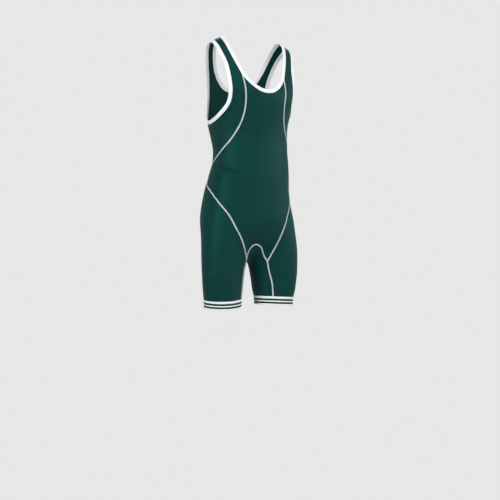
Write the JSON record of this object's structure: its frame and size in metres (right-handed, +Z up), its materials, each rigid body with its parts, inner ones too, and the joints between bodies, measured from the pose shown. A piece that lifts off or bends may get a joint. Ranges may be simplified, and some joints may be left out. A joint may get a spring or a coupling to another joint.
{
  "type": "wrestling singlet",
  "caption": "Worn wrestling singlet: straps, scooped neck, deep armholes, close-fitting knitted body and mid-thigh legs with striped elastic hems.",
  "frame": {"origin": "midway between the two shoulder straps at the height of their highest points (the mount shoulders)", "axes": "+Z up, +X to the wearer's left, the front faces -Y"},
  "size_m": [0.3764, 0.2725, 0.9733],
  "materials": {
    "knit_front": "close warp-knit stretch cloth, dark green, slight sheen",
    "knit_left": "close warp-knit stretch cloth, dark green, slight sheen",
    "knit_right": "close warp-knit stretch cloth, dark green, slight sheen",
    "knit_gusset": "close warp-knit stretch cloth, dark green, slight sheen",
    "binding_neck": "knitted elastic binding, white, matt",
    "binding_left": "knitted elastic binding, white, matt",
    "binding_right": "knitted elastic binding, white, matt",
    "hem_left": "knitted elastic, white with dark green stripes, matt",
    "hem_right": "knitted elastic, white with dark green stripes, matt"
  },
  "bodies": {
    "root": {"front_panel": "knit_front", "left_body_panel": "knit_left", "right_body_panel": "knit_right", "gusset": "knit_gusset", "neck_binding": "binding_neck", "left_armhole_binding": "binding_left", "right_armhole_binding": "binding_right", "left_hem_band": "hem_left", "right_hem_band": "hem_right"}
  },
  "joints": []
}
